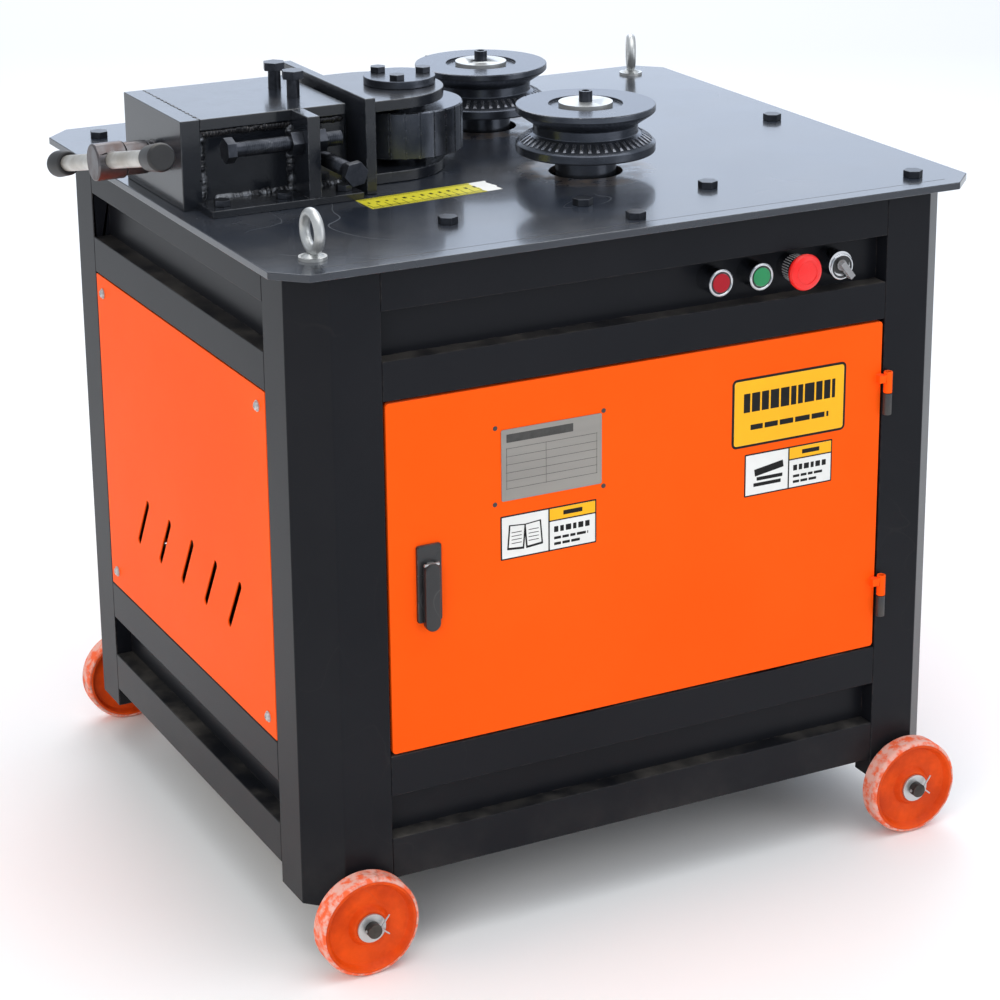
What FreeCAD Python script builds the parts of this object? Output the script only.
"""Three-roller bench for bending reinforcing bar: a wheeled sheet-steel cabinet, a steel table,
two powered grooved rollers and one idle press roller that a hand screw pushes between them.

Millimetres.  X runs to the right along the door side, Y to the rear, Z up.  The origin is on the
floor, under the middle of the table.  Every separate piece is its own solid; identical fasteners
share one file.
"""

import FreeCAD, Part
import math
import os

from FreeCAD import Vector

os.makedirs("parts", exist_ok=True)

# ---------------------------------------------------------------- driving dimensions

# table
table_side_overhang = 23.0
table_end_overhang = 16.0
table_height = 764.0
table_thickness = 8.0
table_corner = 31.0

# cabinet frame, folded posts and square-tube rails
cabinet_width = 784.0
cabinet_depth = 690.0
table_width = cabinet_width + 2 * table_side_overhang
table_depth = cabinet_depth + 2 * table_end_overhang
post_bevel = 35.0
post_face = 55.0
post_return = 30.0
post_sheet = 3.0
post_foot_clearance = 1.0
rail_depth = 40.0
rail_wall = 2.5
top_rail_height = 45.0
upper_recess_height = 52.0
middle_rail_height = 42.0
door_opening_height = 389.0
lower_rail_height = 45.0
lower_recess_height = 49.0
bottom_rail_height = 46.0
recess_depth = 20.0
panel_sheet = 2.0

# door, service panels and their hardware
door_gap = 2.5
door_sheet = 2.0
door_return = 16.0
door_corner = 4.0
hinge_radius = 5.0
hinge_half = 24.5
hinge_gap = 0.6
hinge_inset = 3.0
hinge_stand_off = 0.6
upper_hinge_height = 533.0
lower_hinge_height = 293.0
hinge_pin_radius = 2.8
running_clearance = 0.05
panel_gap = 1.5
slot_count = 5
slot_pitch = 70.0
slot_length = 74.0
slot_width = 9.0
slot_lean = 32.0
slot_height = 345.5
panel_screw_inset = 20.0
panel_screw_radius = 5.0
panel_screw_shank = 2.5
panel_tab_half = 14.0
panel_tab_reach = 26.0
nameplate_width = 118.0
nameplate_height = 78.0
nameplate_sheet = 0.8
nameplate_from_post = 190.5
nameplate_z = 527.0

# door handle
handle_from_post = 46.5
handle_base_width = 28.0
handle_base_height = 85.0
handle_base_thickness = 4.0
handle_base_bottom = 372.5
lever_width = 17.0
lever_length = 75.0
lever_thickness = 8.0
lever_lead = 8.0
lever_gap = 0.5
spindle_radius = 6.0
spindle_drop = 26.0
tongue_width = 7.0
tongue_reach = 5.5
lever_pin_radius = 1.8
cam_length = 56.0
cam_width = 20.0
cam_thickness = 4.0

# wheels
wheel_radius = 56.0
wheel_width = 26.5
wheel_gap = 6.0
wheel_rim = 7.0
wheel_web = 9.0
wheel_hub_radius = 19.0
axle_radius = 8.0
axle_setback = 49.0
axle_proud = 9.0
washer_thickness = 2.5
washer_radius = 16.0
spacer_radius = 12.0
axle_bracket_thickness = 8.0
split_pin_radius = 1.6

# bending rollers and their gear drive
press_axis_y = 13.0
roller_x = 55.0
gear_module = 4.0
pinion_teeth = 16
gear_teeth = 48
gear_face = 36.0
gear_backlash = 0.5
roller_radius = 77.5
roller_neck_radius = 58.0
roller_bottom = 23.0
roller_height = 53.0
roller_rim = 7.0
roller_lower_rim = 10.0
roller_neck_height = 10.0
roller_recess_radius = 41.0
roller_recess_depth = 3.0
shaft_radius = 34.0
shaft_spigot_radius = 22.0
shaft_tail_radius = 25.0
table_hole_radius = 41.0
retainer_radius = 30.0
retainer_thickness = 5.0
cap_screw_head_radius = 7.5
cap_screw_head_height = 12.0
cap_screw_radius = 5.0

# gear case under the table
case_left = 190.0
case_right = 170.0
case_end_clearance = 18.0
case_drop = 96.0
case_wall = 8.0
case_flange = 28.0
case_bolt_edge = 14.0
bearing_width = 18.0
bearing_outer_radius = 55.0
boss_wall = 10.0
boss_height = 26.0

# reducer, belt drive and motor
reducer_width = 190.0
reducer_depth = 118.0
reducer_height = 190.0
pinion_shaft_radius = 18.0
worm_shaft_drop = 126.0
worm_shaft_radius = 12.0
drive_plane_x = -110.0
big_pulley_radius = 112.0
small_pulley_radius = 45.0
pulley_width = 24.0
pulley_groove = 13.0
belt_width = 12.0
belt_thickness = 8.0
belt_clearance = 0.4
motor_radius = 92.0
motor_length = 230.0
motor_shaft_height = 112.0
motor_shaft_radius = 14.0

# press slide housing
housing_left = 402.0
housing_length = 188.0
housing_width = 171.0
housing_height = 96.0
housing_end_thickness = 22.0
housing_top_thickness = 12.0
housing_side_thickness = 16.0
housing_side_inset = 6.0
foot_width = 49.5
foot_thickness = 8.0
ear_thickness = 14.0
ear_offset = 125.0
slide_clearance = 0.3
slide_block_length = 140.0
nut_bore_spare = 4.0
thrust_ring_width = 8.0

# yoke and press roller
yoke_gap = 10.0
yoke_plate_thickness = 12.0
yoke_end_width = 229.0
yoke_end_height = 105.0
yoke_nose_radius = 78.0
yoke_nose_centre = 49.0
yoke_opening = 68.0
press_roller_radius = 70.0
press_roller_height = 52.5
press_roller_offset = 81.5
press_roller_grooves = 26
press_roller_groove_width = 2.4
press_roller_groove_depth = 1.0
press_pin_radius = 20.0
press_cap_radius = 40.0
press_cap_thickness = 9.0
cap_bolt_circle = 29.0

# lead screw
screw_height = 43.0
screw_head_radius = 20.0
screw_head_length = 34.0
screw_collar_radius = 18.0
screw_collar_length = 25.0
screw_stand_off = 9.0
screw_radius = 17.0
screw_thread_depth = 2.0
screw_thread_pitch = 6.0
screw_reach = 104.0
bar_radius = 9.0
bar_length = 344.0
bar_tilt = -13.0
bar_cap_radius = 15.0
bar_cap_length = 36.0
bar_setback = 17.0

# fasteners: shank radius, width across flats, head height
m10 = (5.0, 16.0, 6.5)
m12 = (6.0, 19.0, 7.5)
m14 = (7.0, 22.0, 9.0)
m16 = (8.0, 24.0, 10.0)
nut_height = 13.0
eye_wire_radius = 5.5
eye_ring_radius = 18.5
eye_collar_radius = 14.5
eye_collar_height = 3.0
eye_neck_height = 3.0
eye_neck_radius = 7.0

# controls on the upper front recess
control_pitch = 50.0
control_first_from_post = 215.0
control_lift = 4.0
control_hole_radius = 11.2
bezel_radius = 14.75
bezel_height = 27.0
button_radius = 10.2
stop_collar_height = 25.0
stop_stem_radius = 7.0
mushroom_radius = 20.0
mushroom_height = 9.0
mushroom_proud = 40.0
contact_block = 30.0
contact_depth = 42.0

# ---------------------------------------------------------------- places worked out from them

table_underside = table_height - table_thickness
half_width = cabinet_width / 2
half_depth = cabinet_depth / 2
opening_half_x = half_width - post_bevel - post_face
opening_half_y = half_depth - post_bevel - post_face
post_clearance = wheel_radius + axle_radius + post_foot_clearance
axle_x = half_width - axle_setback
handle_x = handle_from_post - opening_half_x
nameplate_x = nameplate_from_post - opening_half_x
control_first_x = opening_half_x - control_first_from_post

upper_recess_top = table_underside - top_rail_height
middle_rail_top = upper_recess_top - upper_recess_height
door_top = middle_rail_top - middle_rail_height
door_bottom = door_top - door_opening_height
lower_recess_top = door_bottom - lower_rail_height
bottom_rail_top = lower_recess_top - lower_recess_height
frame_bottom = bottom_rail_top - bottom_rail_height

roller_half_pitch = gear_module * (pinion_teeth + gear_teeth) / 2
gear_tip_radius = gear_module * (gear_teeth + 2) / 2
case_half_depth = roller_half_pitch + gear_tip_radius + case_end_clearance
front_roller_y = press_axis_y - roller_half_pitch
rear_roller_y = press_axis_y + roller_half_pitch
roller_base = table_height + roller_bottom
roller_top = roller_base + roller_height
shaft_top = roller_top - roller_recess_depth
shaft_shoulder = roller_base

case_bottom = table_underside - case_drop
gear_bottom = case_bottom + case_wall + 22.0
worm_shaft_z = case_bottom - worm_shaft_drop

housing_end_x = housing_length - housing_left
yoke_left_x = housing_end_x + yoke_gap
yoke_plate_x = yoke_left_x + yoke_plate_thickness
press_roller_x = yoke_plate_x + press_roller_offset
press_slide_base = table_height + slide_clearance
screw_z = table_height + screw_height

control_z = (upper_recess_top + middle_rail_top) / 2 + control_lift
recess_face_y = -half_depth + recess_depth
tray_top = bottom_rail_top
hinge_x = opening_half_x + hinge_inset
hinge_y = -half_depth - hinge_radius - hinge_stand_off
handle_spindle_z = handle_base_bottom + handle_base_height - spindle_drop
door_face_y = -half_depth
lever_hinge_z = handle_spindle_z + spindle_radius
lever_hinge_y = door_face_y - handle_base_thickness - lever_gap - lever_thickness / 2

X = Vector(1, 0, 0)
Y = Vector(0, 1, 0)
Z = Vector(0, 0, 1)


# ---------------------------------------------------------------- small shape makers

def block(low, high):
    size = [high[i] - low[i] for i in range(3)]
    return Part.makeBox(size[0], size[1], size[2], Vector(*low))


def rod(radius, start, length, direction=Z):
    return Part.makeCylinder(radius, length, Vector(*start), direction)


def tube(outer, inner, start, length, direction=Z):
    over = direction * 1.0
    hole = Part.makeCylinder(inner, length + 2, Vector(*start) - over, direction)
    return rod(outer, start, length, direction).cut(hole)


def prism(points, push):
    corners = [Vector(*p) for p in points]
    return Part.Face(Part.makePolygon(corners + [corners[0]])).extrude(push)


def hexagon(across_flats, height, centre, direction=Z, turn=0.0):
    corner = across_flats / math.sqrt(3)
    angles = [math.radians(60 * i) for i in range(6)]
    outline = [(corner * math.cos(a), corner * math.sin(a), 0) for a in angles]
    head = prism(outline, Vector(0, 0, height))
    head.rotate(Vector(0, 0, 0), Z, turn)
    placement = FreeCAD.Placement(Vector(*centre), FreeCAD.Rotation(Z, direction))
    return head.transformGeometry(placement.toMatrix())


def bolt(size, seat, length, direction=Z, turn=0.0):
    """A hex bolt whose head stands on seat towards direction, with its shank going the other way."""
    shank_radius, across_flats, head_height = size
    head = hexagon(across_flats, head_height, seat, direction, turn)
    return head.fuse(rod(shank_radius, seat, length, direction * -1))


def turned(profile, base, direction=Z):
    """A solid of revolution from (radius, height) points about the line through base."""
    corners = [Vector(r, 0, h) for r, h in profile]
    shape = Part.Face(Part.makePolygon(corners + [corners[0]])).revolve(Vector(0, 0, 0), Z, 360)
    placement = FreeCAD.Placement(Vector(*base), FreeCAD.Rotation(Z, direction))
    return shape.transformGeometry(placement.toMatrix())


def fused(shapes):
    return shapes[0].multiFuse(shapes[1:]).removeSplitter()


def mirrored(shape, normal, base=(0, 0, 0)):
    return shape.mirror(Vector(*base), normal)


def rounded_plate(width, height, radius, thickness):
    """A plate in the XZ plane, centred, from Y = 0 back to Y = thickness."""
    plate = block((-width / 2, 0, -height / 2), (width / 2, thickness, height / 2))
    edges = [e for e in plate.Edges if abs(e.tangentAt(e.FirstParameter).y) > 0.9]
    return plate.makeFillet(radius, edges)


def save(name, shapes):
    whole = shapes[0] if len(shapes) == 1 else Part.Compound(shapes)
    whole.exportStep("parts/" + name + ".step")


# ---------------------------------------------------------------- table and cabinet

case_bolt_xs = [-case_left + 10.5, -21.0, case_right - 37.0]
case_bolt_reach = case_half_depth + case_bolt_edge
edge_bolt_y = half_depth - 22.0
table_edge_bolts = [
    (29.0 - half_width, half_depth - 42.0),
    (0.0, -edge_bolt_y),
    (half_width - 20.0, 0.0),
    (half_width - 37.5, 31.0 - half_depth),
    (0.0, edge_bolt_y),
]
eye_from_side = 35.0
eyebolt_places = [
    (eye_from_side - half_width, 38.0 - half_depth, 0.0),
    (half_width - eye_from_side, half_depth - 31.0, -26.0),
]


def table_bolt_places():
    over_case = [
        (x, press_axis_y + side * case_bolt_reach) for x in case_bolt_xs for side in (-1, 1)
    ]
    return table_edge_bolts + over_case


def table_plate():
    half_x = table_width / 2
    half_y = table_depth / 2
    cut = table_corner
    outline = [
        (-half_x + cut, -half_y), (half_x - cut, -half_y), (half_x, -half_y + cut),
        (half_x, half_y - cut), (half_x - cut, half_y), (-half_x + cut, half_y),
        (-half_x, half_y - cut), (-half_x, -half_y + cut),
    ]
    plate = prism([(x, y, table_underside) for x, y in outline], Vector(0, 0, table_thickness))
    holes = [
        rod(table_hole_radius, (roller_x, y, table_underside - 1), table_thickness + 2)
        for y in (front_roller_y, rear_roller_y)
    ]
    holes += [
        rod(m12[0], (x, y, table_underside - 1), table_thickness + 2)
        for x, y in table_bolt_places()
    ]
    holes += [
        rod(m12[0], (x, y, table_underside - 1), table_thickness + 2)
        for x, y, turn in eyebolt_places
    ]
    holes += [
        rod(m10[0], (x, y, table_underside - 1), table_thickness + 2) for x, y in foot_bolt_places()
    ]
    return plate.cut(Part.Compound(holes))


def corner_post():
    """One folded sheet post at the front left corner, open towards the inside."""
    x0, y0 = -half_width, -half_depth
    face_x = x0 + post_bevel + post_face
    face_y = y0 + post_bevel + post_face
    t = post_sheet
    skew = t * math.tan(math.radians(22.5))
    outer = [
        (face_x, y0 + post_return), (face_x, y0), (x0 + post_bevel, y0),
        (x0, y0 + post_bevel), (x0, face_y), (x0 + post_return, face_y),
    ]
    inner = [
        (x0 + post_return, face_y - t), (x0 + t, face_y - t), (x0 + t, y0 + post_bevel + skew),
        (x0 + post_bevel + skew, y0 + t), (face_x - t, y0 + t), (face_x - t, y0 + post_return),
    ]
    points = [(x, y, post_clearance) for x, y in outer + inner]
    post = prism(points, Vector(0, 0, table_underside - post_clearance))
    back_x = x0 + panel_sheet
    for z in panel_screw_heights():
        tab = block(
            (back_x, face_y - t, z - panel_tab_half),
            (back_x + t, face_y + panel_tab_reach, z + panel_tab_half),
        )
        post = post.fuse(tab)
    return post


def rear_tabs(side):
    """The welded tabs behind the rear panel's screws, on the post at the given side."""
    tabs = []
    y = half_depth - panel_sheet
    for z in panel_screw_heights():
        xs = sorted((side * (opening_half_x + post_sheet), side * (opening_half_x - panel_tab_reach)))
        tabs.append(block((xs[0], y - post_sheet, z - panel_tab_half), (xs[1], y, z + panel_tab_half)))
    return tabs


def drilled_for_panels(posts):
    """Tapping holes for the panel screws, through each tab."""
    holes = []
    for y, z in panel_screw_places(opening_half_y - panel_gap):
        holes.append(rod(panel_screw_shank, (-half_width, y, z), 2 * half_width, X))
    for x, z in panel_screw_places(opening_half_x - panel_gap):
        holes.append(rod(panel_screw_shank, (x, half_depth - 20, z), 30, Y))
    return [post.cut(Part.Compound(holes)) for post in posts]


def corner_posts():
    front_left = corner_post()
    front_right = mirrored(front_left, X)
    rear_left = fused([mirrored(front_left, Y)] + rear_tabs(-1))
    rear_right = fused([mirrored(front_right, Y)] + rear_tabs(1))
    return drilled_for_panels([front_left, front_right, rear_left, rear_right])


def rail_levels():
    return [
        (upper_recess_top, table_underside),
        (door_top, middle_rail_top),
        (lower_recess_top, door_bottom),
        (frame_bottom, bottom_rail_top),
    ]


def front_rail(low, high):
    w = rail_wall
    outer = block((-opening_half_x, -half_depth, low), (opening_half_x, -half_depth + rail_depth, high))
    bore = block(
        (-opening_half_x - 1, -half_depth + w, low + w),
        (opening_half_x + 1, -half_depth + rail_depth - w, high - w),
    )
    return outer.cut(bore)


def side_rail(low, high):
    w = rail_wall
    outer = block((-half_width, -opening_half_y, low), (-half_width + rail_depth, opening_half_y, high))
    bore = block(
        (-half_width + w, -opening_half_y - 1, low + w),
        (-half_width + rail_depth - w, opening_half_y + 1, high - w),
    )
    return outer.cut(bore)


def cross_rails():
    rails = []
    for low, high in rail_levels():
        front = front_rail(low, high)
        side = side_rail(low, high)
        rails += [front, mirrored(front, Y), side, mirrored(side, X)]
    bolt_room = [
        rod(m12[0], (x, y, table_underside - 40), 41) for x, y in table_edge_bolts
    ]
    bolt_room += [rod(m10[0], (x, y, table_underside - 40), 41) for x, y in foot_bolt_places()]
    drilled = [rail.cut(Part.Compound(bolt_room)) for rail in rails[:4]]
    return drilled + rails[4:]


def control_xs():
    return [control_first_x + i * control_pitch for i in range(4)]


def front_recess_sheet(low, high):
    return block(
        (-opening_half_x, recess_face_y, low),
        (opening_half_x, recess_face_y + panel_sheet, high),
    )


def control_panel():
    sheet = front_recess_sheet(middle_rail_top, upper_recess_top)
    holes = [
        rod(control_hole_radius, (x, recess_face_y - 1, control_z), panel_sheet + 2, Y)
        for x in control_xs()
    ]
    return sheet.cut(Part.Compound(holes))


def infill_panels():
    """The plain sheets set back between the rails, above and below the doors and panels."""
    panels = []
    for low, high in ((middle_rail_top, upper_recess_top), (bottom_rail_top, lower_recess_top)):
        face_x = -half_width + recess_depth
        side = block(
            (face_x, -opening_half_y, low), (face_x + panel_sheet, opening_half_y, high)
        )
        front = front_recess_sheet(low, high)
        panels += [side, mirrored(side, X), mirrored(front, Y)]
        if low == bottom_rail_top:
            panels.append(front)
    return panels


def vent_slot(centre_y):
    radius = slot_width / 2
    straight = slot_length - slot_width
    ends = [rod(radius, (0, 0, side * straight / 2), 20, X) for side in (-1, 1)]
    middle = block((0, -radius, -straight / 2), (20, radius, straight / 2))
    slot = fused([middle] + ends)
    slot.rotate(Vector(0, 0, 0), X, slot_lean)
    slot.translate(Vector(-half_width - 10, centre_y, slot_height))
    return slot


def service_panel(reach):
    """A screwed panel on the left face, reaching the given distance each way from its middle."""
    z0 = door_bottom + panel_gap
    z1 = door_top - panel_gap
    x0 = -half_width
    sheet = block((x0, -reach, z0), (x0 + panel_sheet, reach, z1))
    middle = -7.0
    first = middle - slot_pitch * (slot_count - 1) / 2
    slots = [vent_slot(first + i * slot_pitch) for i in range(slot_count)]
    holes = [
        rod(panel_screw_shank, (x0 - 1, y, z), panel_sheet + 2, X)
        for y, z in panel_screw_places(reach)
    ]
    return sheet.cut(Part.Compound(slots + holes))


def panel_screw_places(reach):
    ys = (-reach + panel_screw_inset, reach - panel_screw_inset)
    return [(y, z) for y in ys for z in panel_screw_heights()]


def panel_screw_heights():
    inset = panel_gap + panel_screw_inset
    return (door_bottom + inset, door_top - inset)


def to_rear(shape):
    """Carries a shape made for the left face round to the rear face."""
    moved = shape.copy()
    moved.rotate(Vector(0, 0, 0), Z, -90)
    moved.translate(Vector(0, half_depth - half_width, 0))
    return moved


gland_from_post = 52.0
gland_pitch = 50.0
gland_z = 262.0
gland_places = [
    (opening_half_x - gland_from_post - gland_pitch, gland_z),
    (opening_half_x - gland_from_post, gland_z),
]
gland_thread_radius = 10.0
gland_bore_radius = 6.5
gland_hex = 27.0
gland_length = 34.0


def service_panels():
    left = service_panel(opening_half_y - panel_gap)
    rear = to_rear(service_panel(opening_half_x - panel_gap))
    for x, z in gland_places:
        rear = rear.cut(rod(gland_thread_radius, (x, half_depth - 10, z), 20, Y))
    return [left, mirrored(left, X), rear]


def panel_screw(y, z):
    """A zinc pan-head screw with its washer, seen from the left face."""
    face = -half_width
    washer = rod(panel_screw_radius + 1.2, (face - 1.0, y, z), 1.0, X)
    profile = [(0, 0), (panel_screw_radius, 0), (panel_screw_radius - 0.6, 1.8)]
    profile += [(panel_screw_radius - 2.6, 2.8), (0, 3.0)]
    head = turned(profile, (face - 1.0, y, z), X * -1)
    cross = block((face - 4.5, y - 0.5, z - 2.6), (face - 3.0, y + 0.5, z + 2.6))
    other = block((face - 4.5, y - 2.6, z - 0.5), (face - 3.0, y + 2.6, z + 0.5))
    shank = rod(panel_screw_shank, (face, y, z), 12, X)
    return fused([washer, head.cut(cross).cut(other), shank])


def panel_screws():
    left = [panel_screw(y, z) for y, z in panel_screw_places(opening_half_y - panel_gap)]
    right = [mirrored(screw, X) for screw in left]
    rear = [
        to_rear(panel_screw(y, z)) for y, z in panel_screw_places(opening_half_x - panel_gap)
    ]
    return left + right + rear


def floor_tray():
    reach_x = half_width - rail_depth
    reach_y = half_depth - rail_depth
    sheet = 3.0
    return block((-reach_x, -reach_y, tray_top - sheet), (reach_x, reach_y, tray_top))


# ---------------------------------------------------------------- door

def door():
    """The folded door with its two hinge barrels, which are welded to its right edge."""
    reach = opening_half_x - door_gap
    z0 = door_bottom + door_gap
    z1 = door_top - door_gap
    width = 2 * reach
    height = z1 - z0
    middle = Vector(0, door_face_y, (z0 + z1) / 2)
    skin = rounded_plate(width, height, door_corner, door_sheet + door_return)
    skin.translate(middle)
    hollow = rounded_plate(
        width - 2 * door_sheet, height - 2 * door_sheet, door_corner - door_sheet, door_return + 1
    )
    hollow.translate(middle + Vector(0, door_sheet, 0))
    spindle_hole = rod(spindle_radius + 0.5, (handle_x, door_face_y - 1, handle_spindle_z), 30, Y)
    pieces = [skin.cut(hollow).cut(spindle_hole)]
    for z in (upper_hinge_height, lower_hinge_height):
        low = z + hinge_gap / 2
        barrel = tube(
            hinge_radius, hinge_pin_radius + running_clearance, (hinge_x, hinge_y, low), hinge_half
        )
        arm_bottom = low + hinge_half / 2
        arm = block(
            (reach - 7, hinge_y - 2.5, arm_bottom),
            (hinge_x - hinge_pin_radius - 1, door_face_y, arm_bottom + 9),
        )
        pieces += [barrel, arm]
    return fused(pieces)


def hinge_pins():
    """The frame halves of the two hinges: a barrel welded to the post, with the pin pressed in."""
    halves = []
    for z in (upper_hinge_height, lower_hinge_height):
        bottom = z - hinge_gap / 2 - hinge_half
        barrel = rod(hinge_radius, (hinge_x, hinge_y, bottom), hinge_half)
        pin_length = 2 * hinge_half + hinge_gap - 3.0
        pin = rod(hinge_pin_radius, (hinge_x, hinge_y, bottom), pin_length)
        saddle = block(
            (hinge_x - 2.0, hinge_y, bottom + 2), (hinge_x + 3.5, -half_depth, bottom + hinge_half - 2)
        )
        halves.append(fused([barrel, pin, saddle]))
    return halves


def nameplate():
    plate = rounded_plate(nameplate_width, nameplate_height, 2.0, nameplate_sheet)
    plate.translate(Vector(nameplate_x, door_face_y - nameplate_sheet, nameplate_z))
    return plate


def handle_base():
    z_middle = handle_base_bottom + handle_base_height / 2
    base = rounded_plate(handle_base_width, handle_base_height, 3.0, handle_base_thickness)
    base.translate(Vector(handle_x, door_face_y - handle_base_thickness, z_middle))
    rim = [e for e in base.Edges if abs(e.BoundBox.YMax - (door_face_y - handle_base_thickness)) < 1e-6]
    base = base.makeChamfer(1.0, rim)
    hole = rod(spindle_radius + running_clearance, (handle_x, door_face_y - 20, handle_spindle_z), 40, Y)
    return base.cut(hole)


def handle_spindle():
    """The spindle through the door, with the lever's hinge tongue in front and the locking cam behind.

    The cam hangs down while the door is free, and turns in behind the left post's return to lock it.
    """
    front = door_face_y - handle_base_thickness
    back = door_face_y + post_return + 0.5
    spindle = rod(spindle_radius, (handle_x, front, handle_spindle_z), back - front, Y)
    cam_half = cam_width / 2
    cam = block(
        (handle_x - cam_half, back, handle_spindle_z - cam_length),
        (handle_x + cam_half, back + cam_thickness, handle_spindle_z + cam_half),
    )
    tongue = block(
        (handle_x - tongue_width / 2, front - tongue_reach, handle_spindle_z - spindle_radius),
        (handle_x + tongue_width / 2, front, lever_hinge_z + 1.5),
    )
    pin_start = (handle_x - lever_width / 2, lever_hinge_y, lever_hinge_z)
    pin = rod(lever_pin_radius, pin_start, lever_width, X)
    return fused([spindle, cam, tongue, pin])


def handle_lever():
    """The lever bar, slotted over the spindle's tongue and pinned to it so that its lower end lifts."""
    y1 = door_face_y - handle_base_thickness - lever_gap
    y0 = y1 - lever_thickness
    top = handle_spindle_z + lever_lead
    radius = lever_width / 2
    bottom = top - lever_length
    bar = block((handle_x - radius, y0, bottom + radius), (handle_x + radius, y1, top - radius))
    ends = [rod(radius, (handle_x, y0, z), lever_thickness, Y) for z in (bottom + radius, top - radius)]
    lever = fused([bar] + ends)
    rim = [e for e in lever.Edges if e.BoundBox.YMax < y0 + 1e-6]
    lever = lever.makeFillet(2.0, rim)
    half_slot = tongue_width / 2 + lever_gap
    slot = block(
        (handle_x - half_slot, y1 - tongue_reach, handle_spindle_z - spindle_radius - 8),
        (handle_x + half_slot, y1 + 1, top + 1),
    )
    pin_hole = rod(
        lever_pin_radius + running_clearance, (handle_x - 50, lever_hinge_y, lever_hinge_z), 100, X
    )
    return lever.cut(slot).cut(pin_hole)


# ---------------------------------------------------------------- wheels and axles

def wheel(side_x, side_y):
    """A cast wheel turned about its axle; its dished face looks outwards."""
    inner = half_depth + wheel_gap
    r, w = wheel_radius, wheel_width
    rim, hub = r - wheel_rim, wheel_hub_radius
    web_out = w - 8.0
    web_in = web_out - wheel_web
    profile = [
        (axle_radius + running_clearance, 0), (hub, 0), (hub, web_in), (rim, web_in), (rim, 0),
        (r - 1.0, 0), (r, 1.0), (r, w - 1.5), (r - 1.5, w), (rim, w), (rim - 1.0, web_out),
        (hub + 1.0, web_out), (hub, w - 2.0), (axle_radius + running_clearance, w - 2.0),
    ]
    direction = Y * side_y
    return turned(profile, (side_x * axle_x, side_y * inner, wheel_radius), direction)


wheel_sides = {
    "wheel_front_left": (-1, -1),
    "wheel_front_right": (1, -1),
    "wheel_rear_left": (-1, 1),
    "wheel_rear_right": (1, 1),
}
axle_washer_gap = 0.3
axle_half_length = half_depth + wheel_gap + wheel_width - 2.0 + washer_thickness + axle_proud
split_pin_y = axle_half_length - axle_proud / 2 - 0.5


def axles():
    rods = []
    for side in (-1, 1):
        start = (side * axle_x, -axle_half_length, wheel_radius)
        shaft = rod(axle_radius, start, 2 * axle_half_length, Y)
        for end in (-1, 1):
            hole = rod(
                split_pin_radius, (side * axle_x - 20, end * split_pin_y, wheel_radius), 40, X
            )
            shaft = shaft.cut(hole)
        rods.append(shaft)
    return rods


def axle_brackets():
    """Plates welded behind the post faces, each bored for its axle."""
    x_outer = half_width - post_bevel - post_sheet
    x_inner = opening_half_x + post_sheet
    face = half_depth - post_sheet
    plates = []
    for side in (-1, 1):
        for end in (-1, 1):
            xs = sorted((side * x_inner, side * x_outer))
            ys = sorted((end * (face - axle_bracket_thickness), end * face))
            plate = block(
                (xs[0], ys[0], wheel_radius - 16), (xs[1], ys[1], post_clearance + 70)
            )
            start = (side * axle_x, ys[0] - 1, wheel_radius)
            hole = rod(axle_radius, start, axle_bracket_thickness + 2, Y)
            plates.append(plate.cut(hole))
    return plates


def axle_washers():
    """On each axle end, the spacer against the post and the washer outside the wheel."""
    rings = []
    for side_x, side_y in wheel_sides.values():
        out = Y * side_y
        centre_x = side_x * axle_x
        spacer_start = side_y * half_depth
        spacer_length = wheel_gap - axle_washer_gap
        spacer_base = (centre_x, spacer_start, wheel_radius)
        rings.append(tube(spacer_radius, axle_radius, spacer_base, spacer_length, out))
        washer_start = side_y * (half_depth + wheel_gap + wheel_width - 2.0 + axle_washer_gap)
        rings.append(
            tube(
                washer_radius, axle_radius, (centre_x, washer_start, wheel_radius), washer_thickness, out
            )
        )
    return rings


def split_pins():
    """Split cotters: a loop on one side of the axle and two bent legs on the other."""
    pins = []
    for side_x, side_y in wheel_sides.values():
        x, y, z = side_x * axle_x, side_y * split_pin_y, wheel_radius
        body = rod(split_pin_radius, (x - axle_radius - 1, y, z), 2 * axle_radius + 2, X)
        loop = Part.makeTorus(3.2, split_pin_radius, Vector(x - axle_radius - 3.8, y, z), Y)
        legs = [
            rod(split_pin_radius * 0.55, (x + axle_radius, y, z), reach, direction)
            for reach, direction in ((17.0, Vector(0.6, 0, 0.8)), (13.0, Vector(0.75, 0, -0.66)))
        ]
        pins.append(fused([body, loop] + legs))
    return pins


# ---------------------------------------------------------------- fasteners of the table

def eyebolts():
    """Forged lifting eyes: collar, ring and a threaded shank through the table."""
    eyes = []
    for x, y, turn in eyebolt_places:
        neck_top = table_height + eye_collar_height + eye_neck_height
        ring_z = neck_top + eye_ring_radius + eye_wire_radius - 2.0
        shank = rod(m12[0], (x, y, table_underside - 14), 14 + table_thickness)
        collar = rod(eye_collar_radius, (x, y, table_height), eye_collar_height)
        neck_foot = Vector(x, y, table_height + eye_collar_height)
        neck = Part.makeCone(eye_collar_radius - 3.0, eye_neck_radius, eye_neck_height, neck_foot)
        ring = Part.makeTorus(eye_ring_radius, eye_wire_radius, Vector(x, y, ring_z), X)
        nut = hexagon(m12[1], 10.0, (x, y, table_underside - 10))
        eye = fused([shank, collar, neck, ring, nut])
        eye.rotate(Vector(x, y, 0), Z, turn)
        eyes.append(eye)
    return eyes


def table_bolts():
    length = table_thickness + 20
    return [
        bolt(m12, (x, y, table_height), length, Z, turn=15 + 7 * (i % 4))
        for i, (x, y) in enumerate(table_bolt_places())
    ]


# ---------------------------------------------------------------- press slide housing

def housing_half():
    return housing_width / 2


def side_outer():
    """Distance from the press axis to the outer face of a side plate."""
    return housing_half() - housing_side_inset


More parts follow.
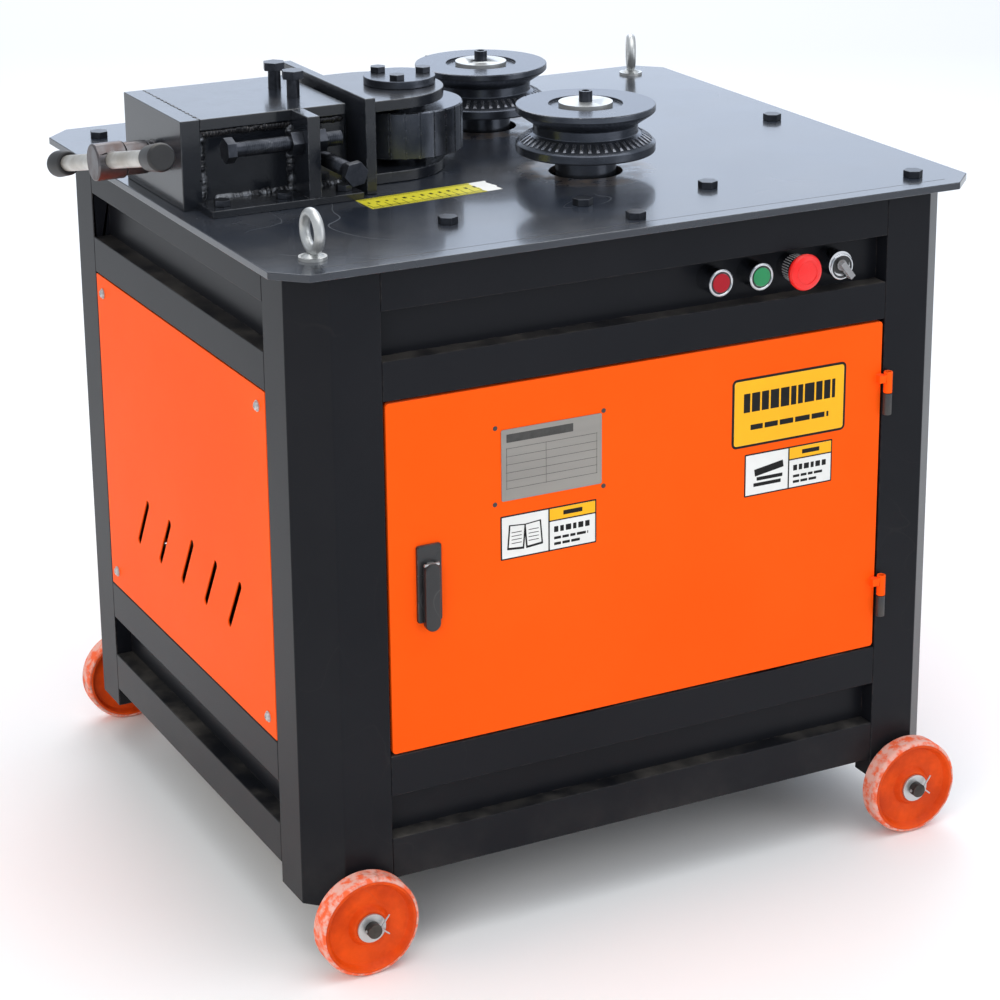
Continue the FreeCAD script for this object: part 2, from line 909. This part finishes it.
def side_inner():
    return side_outer() - housing_side_thickness


def housing_end_plate():
    x0 = -housing_left
    half = housing_half()
    plate = block(
        (x0, press_axis_y - half, table_height),
        (x0 + housing_end_thickness, press_axis_y + half, table_height + housing_height),
    )
    journal_bore = rod(
        screw_radius, (x0 - 1, press_axis_y, screw_z), housing_end_thickness + 2, X
    )
    return plate.cut(journal_bore)


def housing_walls():
    """Two side plates and the top plate, whose edges stand proud of the sides for the weld."""
    x0 = -housing_left + housing_end_thickness
    x1 = housing_end_x
    top = table_height + housing_height
    under = top - housing_top_thickness
    half = housing_half()
    cover = block((x0, press_axis_y - half, under), (x1, press_axis_y + half, top))
    sides = []
    for side in (-1, 1):
        ys = sorted((press_axis_y + side * side_inner(), press_axis_y + side * side_outer()))
        sides.append(block((x0, ys[0], table_height), (x1, ys[1], under)))
    for x, y in top_gib_places():
        cover = cover.cut(rod(m14[0], (x, y, under - 1), housing_top_thickness + 2))
    for side, wall in enumerate(sides):
        hole = rod(m16[0], (side_gib_x, press_axis_y - 200, side_gib_z), 400, Y)
        sides[side] = wall.cut(hole)
    return [cover] + sides


foot_bolt_xs = [-368.0, -298.0, -229.0]
foot_bolt_reach = side_outer() + 29.5
ear_x = -housing_left + ear_offset
stop_bolt_y = press_axis_y - side_outer() - 28.5
stop_bolt_z = table_height + 65.5
stop_bolt_length = 122.0
stop_bolt_tip_x = -231.0
side_gib_x = -241.0
side_gib_z = table_height + 39.5
side_gib_proud = 82.0
top_gib_spread = 26.0
top_gib_x = -249.0
top_gib_proud = 20.0


def foot_bolt_places():
    return [(x, press_axis_y + side * foot_bolt_reach) for x in foot_bolt_xs for side in (-1, 1)]


def top_gib_places():
    return [(top_gib_x, press_axis_y + side * top_gib_spread) for side in (-1, 1)]


def housing_feet():
    """A foot flange each side, bolted to the table, and the front one's ear for the stop bolt."""
    x0 = -housing_left + 16.0
    x1 = housing_end_x
    pieces = []
    for side in (-1, 1):
        reach = side_outer() + foot_width
        ys = sorted((press_axis_y + side * side_outer(), press_axis_y + side * reach))
        start_x = -housing_left + housing_end_thickness
        foot = block((start_x, ys[0], table_height), (x1, ys[1], table_height + foot_thickness))
        heel_ys = sorted((press_axis_y + side * housing_half(), press_axis_y + side * reach))
        heel = block(
            (x0, heel_ys[0], table_height), (start_x + 1, heel_ys[1], table_height + foot_thickness)
        )
        foot = foot.fuse(heel).removeSplitter()
        for x in foot_bolt_xs:
            y = press_axis_y + side * foot_bolt_reach
            foot = foot.cut(rod(m10[0], (x, y, table_height - 1), foot_thickness + 2))
        pieces.append(foot)
    ear_y0 = press_axis_y - side_outer() - foot_width
    ear_y1 = press_axis_y - side_outer()
    ear = block(
        (ear_x, ear_y0, table_height + foot_thickness),
        (ear_x + ear_thickness, ear_y1, table_height + housing_height),
    )
    under = table_height + housing_height - housing_top_thickness
    relief = block(
        (ear_x - 1, ear_y1 - housing_side_inset, under), (ear_x + ear_thickness + 1, ear_y1, under + 50)
    )
    stop_hole = rod(m16[0], (ear_x - 1, stop_bolt_y, stop_bolt_z), ear_thickness + 2, X)
    pieces.append(ear.cut(relief).cut(stop_hole))
    return pieces


def foot_bolts():
    seat_z = table_height + foot_thickness
    length = foot_thickness + table_thickness + 12
    return [
        bolt(m10, (x, y, seat_z), length, Z, turn=20) for x, y in foot_bolt_places()
    ]


def stop_bolt():
    """The long bolt through the ear that limits how far the yoke backs off."""
    head_x = stop_bolt_tip_x - stop_bolt_length
    return bolt(m16, (head_x, stop_bolt_y, stop_bolt_z), stop_bolt_length, X * -1, turn=10)


def stop_nuts():
    """The two nuts that lock the stop bolt in its ear, one each side."""
    nuts = []
    for nut_x in (ear_x - nut_height, ear_x + ear_thickness):
        nut = hexagon(m16[1], nut_height, (nut_x, stop_bolt_y, stop_bolt_z), X, turn=25)
        bore = rod(m16[0], (nut_x - 1, stop_bolt_y, stop_bolt_z), nut_height + 2, X)
        nuts.append(nut.cut(bore))
    return nuts


def gib_bolts():
    """Two bolts from the sides and two from above that take up the play of the slide block."""
    top = table_height + housing_height
    down = top_gib_proud + housing_top_thickness
    bolts = [
        bolt(m14, (x, y, top + top_gib_proud), down, Z, turn=12) for x, y in top_gib_places()
    ]
    for side in (-1, 1):
        face = press_axis_y + side * side_outer()
        seat = (side_gib_x, face + side * side_gib_proud, side_gib_z)
        length = side_gib_proud + housing_side_thickness
        bolts.append(bolt(m16, seat, length, Y * side, turn=8))
    return bolts


# ---------------------------------------------------------------- press slide, yoke and screw

def slide_block():
    half = side_inner() - slide_clearance
    x1 = yoke_left_x
    x0 = x1 - slide_block_length
    top = table_height + housing_height - housing_top_thickness - slide_clearance
    ram = block((x0, press_axis_y - half, press_slide_base), (x1, press_axis_y + half, top))
    nut_bore = rod(
        screw_radius, (x0 - 1, press_axis_y, screw_z), screw_reach + yoke_gap + nut_bore_spare, X
    )
    return ram.cut(nut_bore)


def yoke_end_plate():
    half = yoke_end_width / 2
    plate = block(
        (yoke_left_x, press_axis_y - half, press_slide_base),
        (yoke_plate_x, press_axis_y + half, table_height + yoke_end_height),
    )
    return plate


def yoke_levels():
    lower = press_slide_base
    upper = lower + yoke_plate_thickness + yoke_opening
    return lower, upper


def yoke_plates():
    """The lower and upper cheeks, each a plate with a round nose, bored for the roller pin."""
    cheeks = []
    centre_x = yoke_plate_x + yoke_nose_centre
    for z in yoke_levels():
        straight = block(
            (yoke_plate_x, press_axis_y - yoke_nose_radius, z),
            (centre_x, press_axis_y + yoke_nose_radius, z + yoke_plate_thickness),
        )
        nose = rod(yoke_nose_radius, (centre_x, press_axis_y, z), yoke_plate_thickness)
        nose = nose.common(
            block((centre_x, press_axis_y - 200, z), (centre_x + 200, press_axis_y + 200, z + 100))
        )
        bore = rod(press_pin_radius, (press_roller_x, press_axis_y, z - 1), yoke_plate_thickness + 2)
        cheeks.append(fused([straight, nose]).cut(bore))
    upper = cheeks[1]
    for x, y in cap_bolt_places():
        upper = upper.cut(rod(m10[0], (x, y, yoke_levels()[1] - 1), yoke_plate_thickness + 2))
    return [cheeks[0], upper]


def cap_bolt_places():
    angles = [math.radians(a) for a in (0, 120, 240)]
    return [
        (press_roller_x + cap_bolt_circle * math.cos(a), press_axis_y + cap_bolt_circle * math.sin(a))
        for a in angles
    ]


def roller_pin():
    """The fixed pin of the press roller, with the round flange that is bolted to the upper cheek."""
    lower, upper = yoke_levels()
    seat = upper + yoke_plate_thickness
    pin = rod(press_pin_radius, (press_roller_x, press_axis_y, lower), seat - lower)
    flange = rod(press_cap_radius, (press_roller_x, press_axis_y, seat), press_cap_thickness)
    for x, y in cap_bolt_places():
        flange = flange.cut(rod(m10[0], (x, y, seat - 1), press_cap_thickness + 2))
    return pin.fuse(flange).removeSplitter()


def cap_bolts():
    seat = yoke_levels()[1] + yoke_plate_thickness + press_cap_thickness
    length = press_cap_thickness + yoke_plate_thickness - 1
    return [bolt(m10, (x, y, seat), length, Z, turn=5) for x, y in cap_bolt_places()]


def press_roller():
    """The idle press roller: a thick drum with shallow upright grooves round its face."""
    lower, upper = yoke_levels()
    gap = (upper - lower - yoke_plate_thickness - press_roller_height) / 2
    base = lower + yoke_plate_thickness + gap
    r, h = press_roller_radius, press_roller_height
    bore = press_pin_radius + running_clearance
    collar = press_pin_radius + 8.0
    lift = gap - slide_clearance
    profile = [
        (bore, -lift), (collar, -lift), (collar, 0), (r - 1.5, 0), (r, 1.5),
        (r, h - 1.5), (r - 1.5, h), (collar, h), (collar, h + lift), (bore, h + lift),
    ]
    drum = turned(profile, (press_roller_x, press_axis_y, base))
    cuts = []
    for i in range(press_roller_grooves):
        groove = block(
            (r - press_roller_groove_depth, -press_roller_groove_width / 2, -1),
            (r + 5, press_roller_groove_width / 2, h + 1),
        )
        groove.rotate(Vector(0, 0, 0), Z, 360.0 * i / press_roller_grooves)
        groove.translate(Vector(press_roller_x, press_axis_y, base))
        cuts.append(groove)
    return drum.cut(Part.Compound(cuts))


def lead_screw():
    """The press screw: round head, collar, a journal in the end plate and thread in the slide block.

    It turns without moving along its axis, held between its collar and an inner thrust ring.
    """
    face = -housing_left
    inner_face = face + housing_end_thickness
    collar_x = face - screw_stand_off - screw_collar_length
    head_x = collar_x - screw_head_length
    thrust_x = inner_face + slide_clearance
    nose = yoke_left_x - slide_block_length + screw_reach
    head = rod(screw_head_radius, (head_x, press_axis_y, screw_z), screw_head_length, X)
    head = head.makeChamfer(1.5, [e for e in head.Edges if e.BoundBox.XLength < 1e-6])
    collar = rod(screw_collar_radius, (collar_x, press_axis_y, screw_z), screw_collar_length, X)
    outer_thread = threaded_rod(face - screw_stand_off, screw_stand_off)
    journal = rod(screw_radius - 0.05, (face, press_axis_y, screw_z), thrust_x - face, X)
    thrust_ring = rod(screw_collar_radius + 6.0, (thrust_x, press_axis_y, screw_z), thrust_ring_width, X)
    start = thrust_x + thrust_ring_width
    inner_thread = threaded_rod(start, nose - start)
    screw = fused([head, collar, outer_thread, journal, thrust_ring, inner_thread])
    bar_hole = bar_place(rod(bar_radius, (0, 0, -40), 80))
    return screw.cut(bar_hole)


def threaded_rod(start_x, length):
    """A stretch of the screw's thread from start_x, as a row of ridges."""
    crest = screw_radius - running_clearance
    core = screw_radius - screw_thread_depth
    quarter = screw_thread_pitch / 4
    profile = [(0, 0), (core, 0)]
    for i in range(int(length / screw_thread_pitch)):
        at = i * screw_thread_pitch
        profile += [(core, at + 0.6 * quarter), (crest, at + 1.4 * quarter)]
        profile += [(crest, at + 2.6 * quarter), (core, at + 3.4 * quarter)]
    profile += [(core, length), (0, length)]
    return turned(profile, (start_x, press_axis_y, screw_z), X)


def bar_place(shape):
    """Carries a shape made about the Z axis at the origin to the tommy bar's place."""
    head_end_x = -housing_left - screw_stand_off - screw_collar_length
    bar_x = head_end_x - screw_head_length + bar_setback
    shape.rotate(Vector(0, 0, 0), X, 90 + bar_tilt)
    shape.translate(Vector(bar_x, press_axis_y, screw_z))
    return shape


def tommy_bar():
    reach = bar_length / 2 - bar_cap_length * 0.2
    return bar_place(rod(bar_radius, (0, 0, -reach), 2 * reach))


def bar_caps():
    caps = []
    for side in (-1, 1):
        inner = bar_length / 2 - bar_cap_length
        profile = [
            (bar_radius, 0), (bar_cap_radius - 2.5, 0), (bar_cap_radius - 1.5, 2),
            (bar_cap_radius, bar_cap_length - 3), (bar_cap_radius - 2, bar_cap_length),
            (0, bar_cap_length), (0, bar_cap_length * 0.8), (bar_radius, bar_cap_length * 0.8),
        ]
        caps.append(bar_place(turned(profile, (0, 0, side * inner), Z * side)))
    return caps


# ---------------------------------------------------------------- powered rollers

def bending_roller(y):
    """A grooved roller: two rimmed cones that meet at a narrower neck, recessed on top."""
    r, neck = roller_radius, roller_neck_radius
    h = roller_height
    neck_low = (h - roller_neck_height) / 2 + 0.5
    neck_high = neck_low + roller_neck_height
    bore = shaft_spigot_radius
    sink = h - roller_recess_depth
    profile = [
        (bore, 0), (r - 1.5, 0), (r, 1.5), (r, roller_lower_rim), (r - 2.5, roller_lower_rim + 2),
        (neck, neck_low), (neck, neck_high), (r - 2.5, h - roller_rim - 2.5),
        (r, h - roller_rim), (r, h - 1.0), (r - 1.0, h), (roller_recess_radius, h),
        (roller_recess_radius, sink), (bore, sink),
    ]
    return turned(profile, (roller_x, y, roller_base))


def roller_shaft(y):
    """A main shaft: spigot for the roller, wide journal through the table, tail in the lower bearing."""
    journal_bottom = gear_bottom + gear_face
    tail_bottom = case_bottom - boss_height + 4
    spigot = rod(shaft_spigot_radius, (roller_x, y, shaft_shoulder), shaft_top - shaft_shoulder)
    journal = rod(shaft_radius, (roller_x, y, journal_bottom), shaft_shoulder - journal_bottom)
    tail = rod(shaft_tail_radius, (roller_x, y, tail_bottom), journal_bottom - tail_bottom)
    tapped = rod(cap_screw_radius, (roller_x, y, shaft_top - 30), 31)
    return fused([spigot, journal, tail]).cut(tapped)


def roller_retainer(y):
    """The bright washer over the roller, and its socket cap screw into the shaft."""
    washer = tube(retainer_radius, cap_screw_radius, (roller_x, y, shaft_top), retainer_thickness)
    seat = shaft_top + retainer_thickness
    head = rod(cap_screw_head_radius, (roller_x, y, seat), cap_screw_head_height)
    socket = hexagon(8.0, 7.0, (roller_x, y, seat + cap_screw_head_height - 6))
    shank = rod(cap_screw_radius, (roller_x, y, seat - 25), 25)
    return [washer, head.cut(socket).fuse(shank)]


def gear_tooth_flank(teeth):
    """Points up one involute flank, as (radius, half angle of the tooth there)."""
    pressure = math.radians(20)
    pitch_r = gear_module * teeth / 2
    base_r = pitch_r * math.cos(pressure)
    tip_r = pitch_r + gear_module * 0.95
    root_r = pitch_r - gear_module * 1.25
    half_at_pitch = math.pi / (2 * teeth) - gear_backlash / (2 * pitch_r)

    def involute(angle):
        return math.tan(angle) - angle

    start_r = max(base_r, root_r) + 0.01
    steps = 5
    points = []
    if root_r < start_r:
        angle_there = math.acos(min(1.0, base_r / start_r))
        points.append((root_r, half_at_pitch + involute(pressure) - involute(angle_there)))
    for i in range(steps + 1):
        r = start_r + (tip_r - start_r) * i / steps
        angle_there = math.acos(min(1.0, base_r / r))
        points.append((r, half_at_pitch + involute(pressure) - involute(angle_there)))
    return points


def spur_gear(teeth, bore, centre, turn):
    flank = gear_tooth_flank(teeth)
    outline = []
    for i in range(teeth):
        middle = 2 * math.pi * i / teeth + math.radians(turn)
        for r, half in flank:
            outline.append((r * math.cos(middle - half), r * math.sin(middle - half), 0))
        for r, half in reversed(flank):
            outline.append((r * math.cos(middle + half), r * math.sin(middle + half), 0))
    gear = prism(outline, Vector(0, 0, gear_face))
    gear.translate(Vector(*centre))
    return gear.cut(rod(bore, (centre[0], centre[1], centre[2] - 1), gear_face + 2))


def roller_gear(y):
    half_tooth = 180.0 / gear_teeth
    return spur_gear(gear_teeth, shaft_tail_radius, (roller_x, y, gear_bottom), 90.0 + half_tooth)


def drive_pinion():
    """The reducer's output shaft with the pinion that stands between the two roller gears."""
    pinion = spur_gear(pinion_teeth, 4.0, (roller_x, press_axis_y, gear_bottom), 90.0)
    shaft_bottom = case_bottom - 40
    shaft_top_z = gear_bottom + gear_face + 6
    start = (roller_x, press_axis_y, shaft_bottom)
    shaft = rod(pinion_shaft_radius, start, shaft_top_z - shaft_bottom)
    return pinion.fuse(shaft).removeSplitter()


def gear_case():
    """The open-topped gear case bolted under the table, with a bearing boss below each shaft."""
    x0, x1 = -case_left, case_right
    y0 = press_axis_y - case_half_depth
    y1 = press_axis_y + case_half_depth
    w = case_wall
    outer = block((x0, y0, case_bottom), (x1, y1, table_underside))
    inside = block((x0 + w, y0 + w, case_bottom + w), (x1 - w, y1 - w, table_underside + 1))
    flange = block(
        (x0, y0 - case_flange, table_underside - 10), (x1, y1 + case_flange, table_underside)
    )
    case = outer.fuse(flange).cut(inside)
    for y in (front_roller_y, rear_roller_y):
        boss = rod(
            bearing_outer_radius + boss_wall, (roller_x, y, case_bottom - boss_height), boss_height + w
        )
        case = case.fuse(boss)
    for y in (front_roller_y, rear_roller_y):
        seat = rod(
            bearing_outer_radius, (roller_x, y, case_bottom + w - bearing_width), bearing_width + 1
        )
        relief = rod(30.0, (roller_x, y, case_bottom - boss_height - 1), boss_height + 2)
        case = case.cut(seat).cut(relief)
    case = case.cut(rod(pinion_shaft_radius + 2, (roller_x, press_axis_y, case_bottom - 1), w + 2))
    for x in case_bolt_xs:
        for side in (-1, 1):
            y = press_axis_y + side * case_bolt_reach
            case = case.cut(rod(m12[0], (x, y, table_underside - 30), 40))
    return case.removeSplitter()


def shaft_bearings():
    rings = []
    for y in (front_roller_y, rear_roller_y):
        base = case_bottom + case_wall - bearing_width
        bore = shaft_tail_radius + running_clearance
        rings.append(tube(bearing_outer_radius, bore, (roller_x, y, base), bearing_width))
    return rings


def reducer_case():
    """The worm reducer hung under the gear case, with a bore for each of its shafts."""
    x0 = roller_x - reducer_width / 2
    y0 = press_axis_y - reducer_depth / 2
    body = block(
        (x0, y0, case_bottom - reducer_height),
        (x0 + reducer_width, y0 + reducer_depth, case_bottom),
    )
    edges = [e for e in body.Edges if abs(e.tangentAt(e.FirstParameter).z) > 0.9]
    body = body.makeFillet(18.0, edges)
    drum = rod(70.0, (x0 - 12, press_axis_y, worm_shaft_z), reducer_width + 24, X)
    envelope = block(
        (x0 - 20, y0, case_bottom - 400), (x0 + reducer_width + 20, y0 + reducer_depth, case_bottom)
    )
    body = body.fuse(drum).common(envelope)
    output_bore = rod(
        pinion_shaft_radius + running_clearance, (roller_x, press_axis_y, case_bottom - 41), 42
    )
    input_bore = rod(
        worm_shaft_radius + running_clearance, (x0 - 20, press_axis_y, worm_shaft_z), 81, X
    )
    return body.cut(output_bore).cut(input_bore).removeSplitter()


def pulley(radius, bore, centre):
    """A one-groove V pulley about the X axis, solid down to its shaft."""
    half = pulley_width / 2
    mouth = pulley_groove / 2 + belt_clearance
    floor = mouth - 0.8
    depth = belt_thickness + 3.0
    profile = [
        (bore, -half), (radius, -half), (radius, -mouth), (radius - depth, -floor),
        (radius - depth, floor), (radius, mouth), (radius, half), (bore, half),
    ]
    return turned(profile, centre, X)


def reducer_pulley():
    """The worm shaft's outer end with the large belt pulley keyed to it."""
    x0 = roller_x - reducer_width / 2
    start = drive_plane_x - pulley_width / 2 - 8
    shaft = rod(worm_shaft_radius, (start, press_axis_y, worm_shaft_z), x0 + 60 - start, X)
    wheel_part = pulley(big_pulley_radius, 6.0, (drive_plane_x, press_axis_y, worm_shaft_z))
    return shaft.fuse(wheel_part).removeSplitter()


motor_shaft_z = tray_top + motor_shaft_height
motor_front_x = drive_plane_x + pulley_width / 2 + 18


def motor_rotor():
    """The motor's shaft end with its small belt pulley."""
    start = drive_plane_x - pulley_width / 2 - 6
    shaft = rod(motor_shaft_radius, (start, press_axis_y, motor_shaft_z), motor_front_x + 60 - start, X)
    wheel_part = pulley(small_pulley_radius, 6.0, (drive_plane_x, press_axis_y, motor_shaft_z))
    return shaft.fuse(wheel_part).removeSplitter()


def motor_body():
    """The finned motor: barrel, fan cowl, terminal box and two feet on the tray."""
    x0 = motor_front_x
    barrel = rod(motor_radius - 8, (x0, press_axis_y, motor_shaft_z), motor_length, X)
    cowl = rod(motor_radius, (x0 + motor_length - 10, press_axis_y, motor_shaft_z), 60, X)
    pieces = [barrel, cowl]
    for i in range(24):
        fin = block((x0 + 14, -1.5, motor_radius - 12), (x0 + motor_length - 10, 1.5, motor_radius))
        fin.rotate(Vector(0, 0, 0), X, 15.0 * i)
        fin.translate(Vector(0, press_axis_y, motor_shaft_z))
        pieces.append(fin)
    for x in (x0 + 30, x0 + motor_length - 60):
        pieces.append(
            block((x, press_axis_y - 95, tray_top), (x + 40, press_axis_y + 95, tray_top + 14))
        )
        for side in (-1, 1):
            ys = sorted((press_axis_y + side * 45, press_axis_y + side * 75))
            pieces.append(block((x, ys[0], tray_top), (x + 40, ys[1], motor_shaft_z - 30)))
    box_top = motor_shaft_z + motor_radius + 26
    pieces.append(
        block((x0 + 40, press_axis_y - 45, motor_shaft_z + 60), (x0 + 130, press_axis_y + 45, box_top))
    )
    bore = rod(motor_shaft_radius + running_clearance, (x0 - 1, press_axis_y, motor_shaft_z), 62, X)
    return fused(pieces).cut(bore)


def belt_loop(outer_offset):
    """The filled outline of a belt round both pulleys, grown by outer_offset, in the drive plane."""
    upper = big_pulley_radius - 1.0 + outer_offset
    lower = small_pulley_radius - 1.0 + outer_offset
    span = worm_shaft_z - motor_shaft_z
    lean = math.asin((upper - lower) / span)
    x = drive_plane_x - belt_width / 2
    c, s = math.cos(lean), math.sin(lean)

    def point(radius, centre_z, side):
        return Vector(x, press_axis_y + side * radius * c, centre_z - radius * s)

    top = Vector(x, press_axis_y, worm_shaft_z + upper)
    bottom = Vector(x, press_axis_y, motor_shaft_z - lower)
    upper_right = point(upper, worm_shaft_z, 1)
    upper_left = point(upper, worm_shaft_z, -1)
    lower_right = point(lower, motor_shaft_z, 1)
    lower_left = point(lower, motor_shaft_z, -1)
    edges = [
        Part.Arc(upper_left, top, upper_right).toShape(),
        Part.LineSegment(upper_right, lower_right).toShape(),
        Part.Arc(lower_right, bottom, lower_left).toShape(),
        Part.LineSegment(lower_left, upper_left).toShape(),
    ]
    return Part.Face(Part.Wire(edges)).extrude(Vector(belt_width, 0, 0))


def drive_belt():
    loop = belt_loop(0.0).cut(belt_loop(-belt_thickness))
    return loop


# ---------------------------------------------------------------- controls and electrics

def control_bodies():
    """Button, emergency-stop and selector bodies: bezel in front, threaded barrel and block behind."""
    bodies = []
    for i, x in enumerate(control_xs()):
        face = recess_face_y
        is_stop = i == 2
        height = stop_collar_height if is_stop else bezel_height
        bore = (stop_stem_radius if is_stop else button_radius) + running_clearance
        front = tube(bezel_radius, bore, (x, face - height, control_z), height, Y)
        barrel = tube(control_hole_radius - 0.2, bore, (x, face, control_z), 14.0, Y)
        ring_nut = tube(
            bezel_radius, control_hole_radius - 0.2, (x, face + panel_sheet, control_z), 5.0, Y
        )
        half = contact_block / 2
        housing = block(
            (x - half, face + 14.0, control_z - half),
            (x + half, face + 14.0 + contact_depth, control_z + half),
        )
        pocket = rod(bore, (x, face + 13.0, control_z), 9.0, Y)
        bodies.append(fused([front, barrel, ring_nut, housing]).cut(pocket))
    return bodies


def push_button(index):
    """A flush button: lens disc at the bezel's mouth, with its plunger behind."""
    x = control_xs()[index]
    front = recess_face_y - bezel_height - 1.0
    cap = rod(button_radius, (x, front, control_z), 6.0, Y)
    plunger = rod(5.0, (x, front + 6.0, control_z), recess_face_y + 14.0 - front - 6.0, Y)
    return cap.fuse(plunger).removeSplitter()


def estop_mushroom():
    """The emergency-stop head, with its stem in the body."""
    x = control_xs()[2]
    front = recess_face_y - mushroom_proud
    r, h = mushroom_radius, mushroom_height
    back = front + h
    stem = rod(stop_stem_radius, (x, back, control_z), recess_face_y + 8.0 - back, Y)
    dome = [(0, 0), (r - 5.0, 0.4), (r - 1.5, 2.0), (r, 4.5), (r - 0.5, h - 1.0), (r - 3.0, h), (0, h)]
    head = turned(dome, (x, front, control_z), Y)
    return head.fuse(stem)


def selector_knob():
    """The selector: a disc in the bezel with a raised pointer bar reaching past its rim."""
    x = control_xs()[3]
    front = recess_face_y - bezel_height - 1.0
    disc = rod(button_radius, (x, front, control_z), 6.0, Y)
    stem = rod(5.0, (x, front + 6.0, control_z), recess_face_y + 14.0 - front - 6.0, Y)
    bar = block((x - 5.0, front - 9.0, control_z - 3.2), (x + 17.0, front - 0.8, control_z + 3.2))
    neck = rod(6.0, (x, front - 2.0, control_z), 3.0, Y)
    bar = bar.fuse(neck)
    bar.rotate(Vector(x, 0, control_z), Y, 52)
    return fused([disc, stem, bar])


def electrical_box():
    """The switchgear box that stands on the tray, with a lipped lid towards the door."""
    x0, x1 = 225.0, half_width - rail_depth - 8
    y0 = -half_depth + rail_depth + 25
    body = block((x0, y0, tray_top), (x1, y0 + 90, tray_top + 190))
    lid = block((x0 - 3, y0 - 4, tray_top + 6), (x1 + 3, y0, tray_top + 193))
    return body.fuse(lid)


def cable_glands():
    glands = []
    for x, z in gland_places:
        face = half_depth
        thread = rod(gland_thread_radius, (x, face - 16, z), 17, Y)
        collar = hexagon(gland_hex, 6.0, (x, face, z), Y)
        dome = [(0, 0), (12.0, 0), (12.0, 16.0), (9.5, 20.0), (0, 20.0)]
        cap = turned(dome, (x, face + 6.0, z), Y)
        nut = hexagon(gland_hex, 5.0, (x, face - panel_sheet - 5.0, z), Y)
        bore = rod(gland_bore_radius, (x, face - 20, z), gland_length + 30, Y)
        glands.append(fused([thread, collar, cap, nut]).cut(bore))
    return glands


# ---------------------------------------------------------------- everything, one file a node

nodes = {
    "table_plate": [table_plate()],
    "corner_posts": corner_posts(),
    "cross_rails": cross_rails(),
    "control_panel": [control_panel()],
    "infill_panels": infill_panels(),
    "service_panels": service_panels(),
    "panel_screws": panel_screws(),
    "floor_tray": [floor_tray()],
    "door": [door()],
    "hinge_pins": hinge_pins(),
    "nameplate": [nameplate()],
    "handle_base": [handle_base()],
    "handle_spindle": [handle_spindle()],
    "handle_lever": [handle_lever()],
    "axles": axles(),
    "axle_brackets": axle_brackets(),
    "axle_washers": axle_washers(),
    "split_pins": split_pins(),
    "eyebolts": eyebolts(),
    "table_bolts": table_bolts(),
    "housing_end_plate": [housing_end_plate()],
    "housing_walls": housing_walls(),
    "housing_feet": housing_feet(),
    "foot_bolts": foot_bolts(),
    "stop_bolt": [stop_bolt()] + stop_nuts(),
    "gib_bolts": gib_bolts(),
    "slide_block": [slide_block()],
    "yoke_end_plate": [yoke_end_plate()],
    "yoke_plates": yoke_plates(),
    "roller_pin": [roller_pin()],
    "cap_bolts": cap_bolts(),
    "press_roller": [press_roller()],
    "lead_screw": [lead_screw()],
    "tommy_bar": [tommy_bar()],
    "bar_caps": bar_caps(),
    "front_roller": [bending_roller(front_roller_y)],
    "rear_roller": [bending_roller(rear_roller_y)],
    "front_roller_drive": [roller_shaft(front_roller_y), roller_gear(front_roller_y)],
    "rear_roller_drive": [roller_shaft(rear_roller_y), roller_gear(rear_roller_y)],
    "front_retainer": roller_retainer(front_roller_y),
    "rear_retainer": roller_retainer(rear_roller_y),
    "drive_pinion": [drive_pinion()],
    "gear_case": [gear_case()],
    "shaft_bearings": shaft_bearings(),
    "reducer_case": [reducer_case()],
    "reducer_pulley": [reducer_pulley()],
    "motor_body": [motor_body()],
    "motor_rotor": [motor_rotor()],
    "drive_belt": [drive_belt()],
    "control_bodies": control_bodies(),
    "red_button": [push_button(0)],
    "green_button": [push_button(1)],
    "estop_mushroom": [estop_mushroom()],
    "selector_knob": [selector_knob()],
    "electrical_box": [electrical_box()],
    "cable_glands": cable_glands(),
}
for wheel_name, (side_x, side_y) in wheel_sides.items():
    nodes[wheel_name] = [wheel(side_x, side_y)]

for node_name, shapes in nodes.items():
    save(node_name, shapes)
